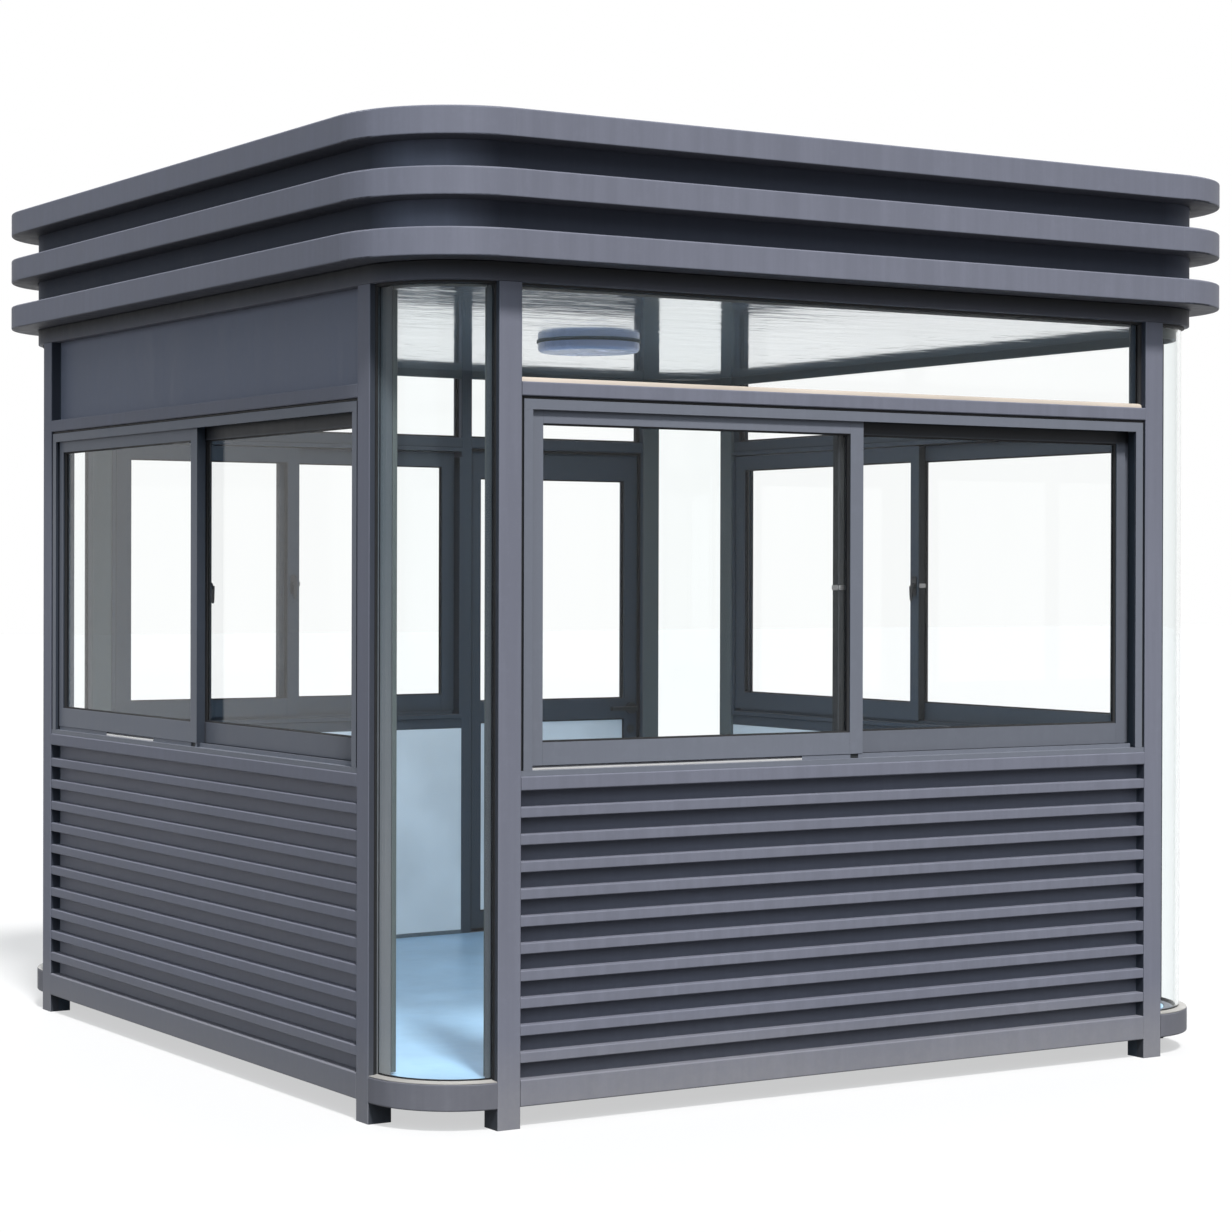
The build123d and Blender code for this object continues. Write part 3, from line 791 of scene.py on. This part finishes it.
def window_lock_details(wall, inner_pane, inner_sash, place):
    """Keeper and latch at the edge of the inner meeting stile, and the lever on its back."""
    left, front, back = inner_sash[0].x, inner_sash[0].y, inner_sash[1].y

    bm = bmesh.new()
    x = left - 0.001
    bar_sweep(bm, rounded(0.040, 0.015, 0.0050), (x, front - 0.0028, LOCK_HEIGHT),
              (x, front - 0.0050, LOCK_HEIGHT), RIGHTWARD, UP)
    finish_piece(f"{wall}_lock_keeper", bm, "aluminium", place=place)

    bm = bmesh.new()
    latch = rounded(back - front + 0.001, 0.016, 0.0045)
    level_bar(bm, latch, left - 0.0012, left - 0.0050, front - 0.002, LOCK_HEIGHT - 0.0005)
    finish_piece(f"{wall}_lock_latch", bm, "dark_steel", place=place)

    middle, hub = (left + inner_pane[0].x) / 2, LOCK_HEIGHT + 0.006
    x, z, plate_face = middle - 0.013, LOCK_HEIGHT - 0.030, back + 0.0045
    knob = [(0, 0.004), (0.0105, 0.004), (0.0105, 0.011), (0.0092, 0.0125), (0, 0.0125)]
    lever = [(0, -0.008), (0.030, -0.0065), (0.052, -0.0045), (0.056, 0), (0.052, 0.0045),
             (0.030, 0.0065), (0, 0.008)]
    bm = bmesh.new()
    bar_sweep(bm, rounded(0.026, 0.072, 0.0060), (x, back, z), (x, plate_face, z), RIGHTWARD, UP)
    lathe(bm, knob, (middle, back, hub), INWARD)
    bar_sweep(bm, lever, (middle, back + 0.0125, hub), (middle, back + 0.0185, hub),
              DOWN, RIGHTWARD)
    for offset in (-0.025, 0.037):
        lathe(bm, SCREW, (middle, plate_face, LOCK_HEIGHT + offset), INWARD, SCREW_STEPS)
    finish_piece(f"{wall}_lock_lever", bm, "black_metal", place=place)


# ---------------------------------------------------------------- fixed glass
def upper_glass_details():
    """Dark seals round the upper panes and a cream bead along the foot of the front one."""
    seals, beads = bmesh.new(), bmesh.new()
    depth = 0.0085
    side_seal = [(0, 0), (0.0085, 0), (0.0080, 0.0030), (0.0030, 0.0090), (0, 0.0100)]
    top_seal = [(0, 0), (0, 0.0100), (-depth * 0.6, 0.0090), (-depth, 0.0035), (-depth, 0)]
    bead = [(0, 0), (0, 0.0120), (0.0080, 0.0112), (0.0122, 0.0080), (0.0140, 0.0030), (0.0140, 0)]
    for wall in ("front", "right", "back"):
        place = wall_matrix(wall)
        for low, high in on_this_wall(wall_boxes("upper_glass", wall)):
            part = bmesh.new()
            both_faces(part, side_seal, low, high)
            for y, away in ((low.y, OUTWARD), (high.y, INWARD)):
                level_bar(part, top_seal, low.x + 0.001, high.x - 0.001, y, high.z - 0.0004,
                          UP, away)
            merge(seals, part, place)
            if wall != "front":
                continue
            part = bmesh.new()
            level_bar(part, bead, low.x + 0.0005, high.x - 0.0005, low.y, low.z, UP, OUTWARD)
            merge(beads, part, place)
    finish_piece("upper_glass_seals", seals, "rubber")
    finish_piece("upper_glass_beads", beads, "cream")


def corner_glass_details():
    """Edge seals, top seals and pale sills of the four bent panes."""
    seals, sills = bmesh.new(), bmesh.new()
    for sign_x, sign_y in CORNER_SIGNS:
        corner_edge_seals(seals, sign_x, sign_y)
        corner_ring_seals(seals, sills, sign_x, sign_y)
    finish_piece("corner_glass_seals", seals, "rubber")
    finish_piece("corner_glass_sills", sills, "pale_sill")


def corner_edge_seals(seals, sign_x, sign_y):
    """Upright seals outside and inside both edges of one bent pane."""
    outer, inner = CORNER_GLASS_RADIUS, CORNER_GLASS_RADIUS - CORNER_GLASS_THICKNESS
    foot, top = CORNER_BOX[0].z + 0.004, CORNER_BOX[1].z
    outer_lip = [(0, 0), (0.0080, 0), (0.0074, 0.0022), (0.0030, 0.0038), (0, 0.0040)]
    inner_lip = [(0, 0), (-0.0025, 0), (-0.0025, 0.0020), (-0.0010, 0.0030), (0, 0.0030)]
    corner = Vector((sign_x * CORNER_X, sign_y * CORNER_Y, 0))
    away_x, away_y = Vector((sign_x, 0, 0)), Vector((0, sign_y, 0))
    for radial, tangent in ((away_x, away_y), (away_y, away_x)):
        for outline, radius in ((outer_lip, outer), (inner_lip, inner)):
            start = corner + radial * radius
            upright_bar(seals, outline, start.x, start.y, foot, top, radial, tangent)


def corner_ring_seals(seals, sills, sign_x, sign_y):
    """Seals along the top and foot of one bent pane, and the sill in front of it."""
    outer, inner = CORNER_GLASS_RADIUS, CORNER_GLASS_RADIUS - CORNER_GLASS_THICKNESS
    foot, top = CORNER_BOX[0].z, CORNER_BOX[1].z
    band = 0.0095
    top_outer = [(outer, top), (outer + 0.009, top), (outer + 0.009, top - band * 0.7),
                 (outer + 0.003, top - band), (outer, top - band)]
    top_inner = [(inner, top), (inner - 0.006, top), (inner - 0.006, top - band),
                 (inner, top - band)]
    foot_seal = [(inner, foot), (inner - 0.010, foot), (inner - 0.008, foot + 0.004),
                 (inner - 0.002, foot + 0.009), (inner, foot + 0.009)]
    sill = [(outer, foot), (outer + 0.0235, foot), (outer + 0.0235, foot + 0.0018),
            (outer + 0.0080, foot + 0.0026), (outer + 0.0030, foot + 0.0050),
            (outer, foot + 0.0060)]
    for outline in (top_outer, top_inner, foot_seal):
        corner_sweep(seals, outline, sign_x, sign_y)
    corner_sweep(sills, sill, sign_x, sign_y)


# ---------------------------------------------------------------- door
def door_details():
    """Glass gaskets, stop seal behind the leaf, lock cylinder and hinge screws."""
    place = wall_matrix("back")
    pane, = wall_boxes("door_glass", "back")
    panel, = wall_boxes("door_panel", "back")
    leaf_low, leaf_high = around(wall_boxes("door_leaf", "back"))

    bm = bmesh.new()
    bead = [(0, 0), (0.0060, 0), (0.0052, 0.0030), (0.0030, 0.0052), (0, 0.0060)]
    both_faces(bm, GASKET, *pane)
    both_faces(bm, bead, *panel)
    finish_piece("door_gaskets", bm, "rubber", "door", place)

    bm = bmesh.new()
    gap, reach, thick = 0.005, 0.012, 0.012
    margin = Vector((gap, 0, gap))
    stop = [(0, 0), (reach * 0.75, 0), (reach, 0.004), (reach, thick), (0, thick)]
    frame_sweep(bm, stop, leaf_low - margin, leaf_high + margin, leaf_high.y + gap, 1)
    finish_piece("door_stop_seal", bm, "rubber", "booth", place)

    door_lock_details(leaf_low, leaf_high, place)
    hinge_details(place)


def door_lock_details(leaf_low, leaf_high, place):
    """Round escutcheon and key cylinder under the handle, on both faces of the leaf."""
    handle_low, handle_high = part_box("door_handles")
    x = leaf_low.x + 0.030
    z = (handle_low.z + handle_high.z) / 2 - 0.085
    collar = [(0, 0), (0.0170, 0), (0.0168, 0.0030), (0.0150, 0.0048), (0.0098, 0.0050),
              (0.0095, 0.0086), (0, 0.0090)]
    key_slot = rounded(0.0018, 0.0085, 0.0008)
    slot_x, slot_z = x - 0.0009, z - 0.0042
    bm = bmesh.new()
    for y, side in ((leaf_low.y, -1), (leaf_high.y, 1)):
        lathe(bm, collar, (x, y, z), (0, side, 0))
        bar_sweep(bm, key_slot, (slot_x, y + side * 0.0088, slot_z),
                  (slot_x, y + side * 0.0094, slot_z), RIGHTWARD, UP)
    finish_piece("door_lock_cylinder", bm, "black_metal", "door", place)


def hinge_details(place):
    """Two screws on each hinge plate."""
    inset, fixed_rise = 0.011, 0.022
    for node, body in (("door_hinges_fixed", "booth"), ("door_hinges_moving", "door")):
        bm = bmesh.new()
        for low, high in wall_boxes(node, "back"):
            x = high.x - inset if body == "booth" else low.x + inset
            middle = (low.z + high.z) / 2 if body == "door" else low.z + fixed_rise
            for offset in (-0.014, 0.014):
                lathe(bm, SCREW, (x, low.y + inset, middle + offset), OUTWARD, SCREW_STEPS)
        finish_piece(f"{node}_screws", bm, "steel", body, place)


# ---------------------------------------------------------------- roof, lamp and floor
def lamp_details():
    """Dark rim of the lamp against the ceiling."""
    low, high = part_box("ceiling_lamp")
    radius, depth = (high.x - low.x) / 2, 0.006
    rim = [(radius, 0), (radius + 0.004, 0), (radius + 0.004, -depth * 0.75),
           (radius + 0.002, -depth), (radius, -depth)]
    bm = bmesh.new()
    lathe(bm, rim, (0, 0, high.z), UP, 72)
    finish_piece("lamp_rim", bm, "cover_paint")


def roof_details():
    """Lap seams of the deck sheets and a sealant bead round the edge."""
    low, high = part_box("roof_deck")
    lap = [(-0.030, 0), (0.030, 0), (0.028, 0.0022), (0.008, 0.0030), (0.004, 0.0052),
           (-0.004, 0.0052), (-0.008, 0.0030), (-0.028, 0.0022)]
    third = (high.x - low.x) / 3
    bm = bmesh.new()
    for x in (low.x + third, high.x - third):
        bar_sweep(bm, lap, (x, low.y + 0.004, high.z), (x, high.y - 0.004, high.z), RIGHTWARD, UP)
    fillet = [(0, 0), (0.016, 0), (0.009, 0.004), (0.004, 0.009), (0, 0.016)]
    deck_edge = Matrix.Translation((0, OUTER_FACE - high.x, high.z))
    for wall in WALL_TURNS:
        part = bmesh.new()
        level_bar(part, fillet, -CORNER_X, CORNER_X, 0, 0)
        merge(bm, part, wall_matrix(wall) @ deck_edge)
    radius = high.x - CORNER_X
    for sign_x, sign_y in CORNER_SIGNS:
        corner_sweep(bm, [(radius - u, high.z + v) for u, v in fillet], sign_x, sign_y)
    finish_piece("roof_deck_seams", bm, "rubber")


def post_covers():
    """Inner covers of the upright posts, deeper on the side walls."""
    covers = bmesh.new()
    bevel = 0.0015
    for wall in WALL_TURNS:
        depth = 0.015 if wall in ("left", "right") else 0.006
        for low, high in on_this_wall(wall_boxes("posts", wall)):
            width = high.x - low.x
            outline = [(0, 0), (width, 0), (width, depth - bevel), (width - bevel, depth),
                       (bevel, depth), (0, depth - bevel)]
            part = bmesh.new()
            upright_bar(part, outline, low.x, high.y, BASE_LEVEL + 0.006, CEILING_LEVEL - 0.0005,
                        RIGHTWARD, INWARD)
            merge(covers, part, wall_matrix(wall))
    finish_piece("post_covers", covers, "cover_paint")


def ceiling_cornice():
    """The cornice under the ceiling's edge that the photo shows on the right and back walls
    and their corners."""
    cornice = bmesh.new()
    drop, edge, depth, wall_face = 0.032, 0.003, 0.014, 0.060
    trim = [(0, 0), (depth, 0), (depth, -drop + edge), (depth - edge, -drop), (0, -drop)]
    for wall in ("right", "back"):
        for low, high in on_this_wall(wall_boxes("ring_beams", wall)):
            part = bmesh.new()
            level_bar(part, trim, low.x, high.x, wall_face, CEILING_LEVEL)
            merge(cornice, part, wall_matrix(wall))
    radius = CORNER_GLASS_RADIUS - CORNER_GLASS_THICKNESS - 0.0065
    for sign_x, sign_y in ((1, -1), (1, 1), (-1, 1)):
        corner_sweep(cornice, [(radius - u, CEILING_LEVEL + v) for u, v in trim], sign_x, sign_y)
    finish_piece("ceiling_cornice", cornice, "cover_paint")


def skirting_details():
    """A slim dark strip along the foot of each lining board."""
    bm = bmesh.new()
    strip = [(0, 0), (0.004, 0), (0.004, 0.010), (0.002, 0.014), (0, 0.015)]
    shortest = 0.5
    for wall in WALL_TURNS:
        for low, high in on_this_wall(wall_boxes("inner_lining", wall)):
            if high.x - low.x < shortest:
                continue
            part = bmesh.new()
            level_bar(part, strip, low.x, high.x, high.y, BASE_LEVEL)
            merge(bm, part, wall_matrix(wall))
    finish_piece("lining_skirting", bm, "skirting")


for name in WALL_TURNS:
    window_details(name)
upper_glass_details()
corner_glass_details()
door_details()
lamp_details()
roof_details()
post_covers()
ceiling_cornice()
skirting_details()


# ---------------------------------------------------------------- light and camera
WHITE = (1.0, 1.0, 1.0)
KEY_WHITE = (1.0, 0.99, 0.98)
SKY_BLUE = (0.86, 0.93, 1.0)
LEFT_BLUE = (0.74, 0.87, 1.0)
BACK_BLUE = (0.90, 0.95, 1.0)
FLOOR_BOUNCE = ((0.085, 0.085, 0.085), (0.100, 0.100, 0.100))
FLOOR_SHOWN = (0.30, 0.30, 0.30)


def place_in_scene(name, data):
    """A new object of the scene that holds this data."""
    holder = bpy.data.objects.new(name, data)
    bpy.context.scene.collection.objects.link(holder)
    return holder


def direction(azimuth, elevation):
    """Unit vector towards an azimuth, measured from the front towards the left, in degrees."""
    azimuth, elevation = math.radians(azimuth), math.radians(elevation)
    level = math.cos(elevation)
    return Vector((-math.sin(azimuth) * level, -math.cos(azimuth) * level, math.sin(elevation)))


def sun_lamp(name, colour, energy, spread, azimuth, elevation):
    """A distant lamp. Its spread and its place in the sky are in degrees."""
    lamp = bpy.data.lights.new(name, "SUN")
    lamp.energy = energy
    lamp.color = colour
    lamp.angle = math.radians(spread)
    towards = direction(azimuth, elevation)
    place_in_scene(name, lamp).rotation_euler = towards.to_track_quat("Z", "Y").to_euler()


def surroundings():
    """A faint even dome, which the camera, mirrors and glass see as plain white."""
    world = bpy.data.worlds.new("studio")
    bpy.context.scene.world = world
    world.use_nodes = True
    nodes, link = world.node_tree.nodes, world.node_tree.links.new
    nodes.clear()
    path = nodes.new("ShaderNodeLightPath").outputs
    shades = []
    for colour, strength in ((SKY_BLUE, 0.20), (WHITE, 1.0)):
        shade = nodes.new("ShaderNodeBackground")
        shade.inputs["Color"].default_value = (*colour, 1)
        shade.inputs["Strength"].default_value = strength
        shades.append(shade.outputs[0])
    direct, seen = nodes.new("ShaderNodeMath"), nodes.new("ShaderNodeMath")
    direct.operation = seen.operation = "MAXIMUM"
    link(path["Is Camera Ray"], direct.inputs[0])
    link(path["Is Transmission Ray"], direct.inputs[1])
    link(direct.outputs[0], seen.inputs[0])
    link(path["Is Glossy Ray"], seen.inputs[1])
    mix = nodes.new("ShaderNodeMixShader")
    link(seen.outputs[0], mix.inputs[0])
    link(shades[0], mix.inputs[1])
    link(shades[1], mix.inputs[2])
    output = nodes.new("ShaderNodeOutputWorld")
    link(mix.outputs[0], output.inputs["Surface"])


def floor_finish():
    """Grey to the light that it sends back, and nearly white to the camera, mirrors and glass,
    with the object's shadow kept."""
    t = Tree("studio_floor")
    path = t.add("ShaderNodeLightPath").outputs
    cloud = t.noise(t.place, 0.4, 2.0)
    grey = t.mix(t.spread(cloud, 0.3, 0.7), *FLOOR_BOUNCE)
    bounce = t.add("ShaderNodeBsdfDiffuse", {"Color": grey}).outputs["BSDF"]
    shown = t.add("ShaderNodeBsdfDiffuse", {"Color": FLOOR_SHOWN}).outputs["BSDF"]
    glow = t.add("ShaderNodeEmission", {"Color": WHITE, "Strength": 0.57}).outputs["Emission"]
    pale = t.add("ShaderNodeAddShader", {0: shown, 1: glow}).outputs["Shader"]
    indirect = t.math("MAXIMUM", path["Is Glossy Ray"], path["Is Transmission Ray"])
    seen = t.math("MAXIMUM", path["Is Camera Ray"], indirect)
    mixed = t.add("ShaderNodeMixShader", {0: seen, 1: bounce, 2: pale})
    return t.surface(mixed.outputs["Shader"])


def studio_floor():
    """A wide pale floor."""
    mesh = bpy.data.meshes.new("studio_floor")
    reach = 60.0
    corners = [(-reach, -reach, 0), (reach, -reach, 0), (reach, reach, 0), (-reach, reach, 0)]
    mesh.from_pydata(corners, [], [(0, 1, 2, 3)])
    mesh.materials.append(floor_finish())
    floor = place_in_scene("studio_floor", mesh)


def cabin_fill():
    """A soft lamp under the ceiling that isn't seen itself."""
    fill = bpy.data.lights.new("cabin_fill", "AREA")
    fill.shape = "SQUARE"
    fill.size = 2.2
    fill.energy = 25.0
    holder = place_in_scene("cabin_fill", fill)
    holder.location = (0, 0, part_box("ceiling_lamp")[0].z - 0.02)
    holder.visible_camera = False
    holder.visible_glossy = False
    holder.visible_transmission = False


def studio():
    """Pale floor, white surroundings, a high key and a soft sky from the front, soft fills
    from the left and from behind on the right, and a faint even dome."""
    sun_lamp("key", KEY_WHITE, energy=4.0, spread=8, azimuth=15, elevation=56)
    sun_lamp("sky_fill", SKY_BLUE, energy=1.05, spread=40, azimuth=20, elevation=36)
    sun_lamp("left_fill", LEFT_BLUE, energy=0.62, spread=50, azimuth=74, elevation=8)
    sun_lamp("back_fill", BACK_BLUE, energy=0.85, spread=50, azimuth=210, elevation=30)
    surroundings()
    studio_floor()
    cabin_fill()


def camera():
    """The photograph's view: eye height, from the front and a little to the left. The lens
    and the shift come from the camera that was fitted to the photograph."""
    data = bpy.data.cameras.new("camera")
    data.sensor_width = 36.0
    focal_pixels, frame_pixels = 2859.0, 1232.0
    data.lens = data.sensor_width * focal_pixels / frame_pixels
    data.shift_x = 0.0751
    data.shift_y = -0.0228
    data.clip_end = 200.0
    yaw, pitch, roll = math.radians(30.895), math.radians(-0.247), math.radians(0.141)
    ahead = math.cos(pitch)
    forward = Vector((math.sin(yaw) * ahead, math.cos(yaw) * ahead, math.sin(pitch)))
    level = Vector((math.cos(yaw), -math.sin(yaw), 0.0))
    upward = level.cross(forward)
    right = level * math.cos(roll) + upward * math.sin(roll)
    top = -level * math.sin(roll) + upward * math.cos(roll)
    place = Matrix((right, top, -forward)).transposed().to_4x4()
    place.translation = Vector((-5.2376, -8.3223, 1.5392))
    eye = place_in_scene("camera", data)
    eye.matrix_world = place
    bpy.context.scene.camera = eye


bpy.context.scene.view_settings.view_transform = "Standard"
studio()
camera()
